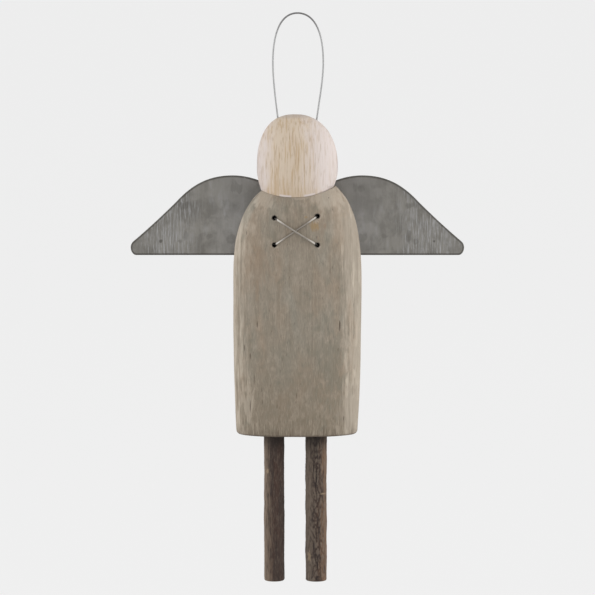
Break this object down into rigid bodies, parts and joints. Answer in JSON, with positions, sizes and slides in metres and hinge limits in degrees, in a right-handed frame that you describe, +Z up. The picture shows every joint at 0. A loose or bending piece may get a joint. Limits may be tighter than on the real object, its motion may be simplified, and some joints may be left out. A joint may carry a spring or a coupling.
{
  "type": "hanging angel ornament",
  "caption": "Hanging angel ornament: carved wooden body and faceless domed head, sheet metal wings laced on with crossed wire, bark twig legs and a bent wire hanging loop.",
  "frame": {"origin": "inside of the hanger loop's top, where a hook carries the ornament", "axes": "+Z up, -Y the front of the figure, +X to the viewer's right"},
  "size_m": [0.1918, 0.0401, 0.3261],
  "materials": {
    "taupe_wash": "thin grey-brown wash, rubbed back along the sides",
    "limed_wood": "whitewashed open grain",
    "raw_wood": "bare",
    "aged_zinc": "dull weathered sheet with darkened edges",
    "bark": "natural bark",
    "wire": "plain drawn wire"
  },
  "bodies": {
    "root": {"body": "taupe_wash", "head": "limed_wood", "neck_dowel": "raw_wood", "left_wing": "aged_zinc", "right_wing": "aged_zinc", "left_leg": "bark", "right_leg": "bark", "hanger_wire": "wire", "lacing_wire_over": "wire", "lacing_wire_under": "wire"}
  },
  "joints": []
}
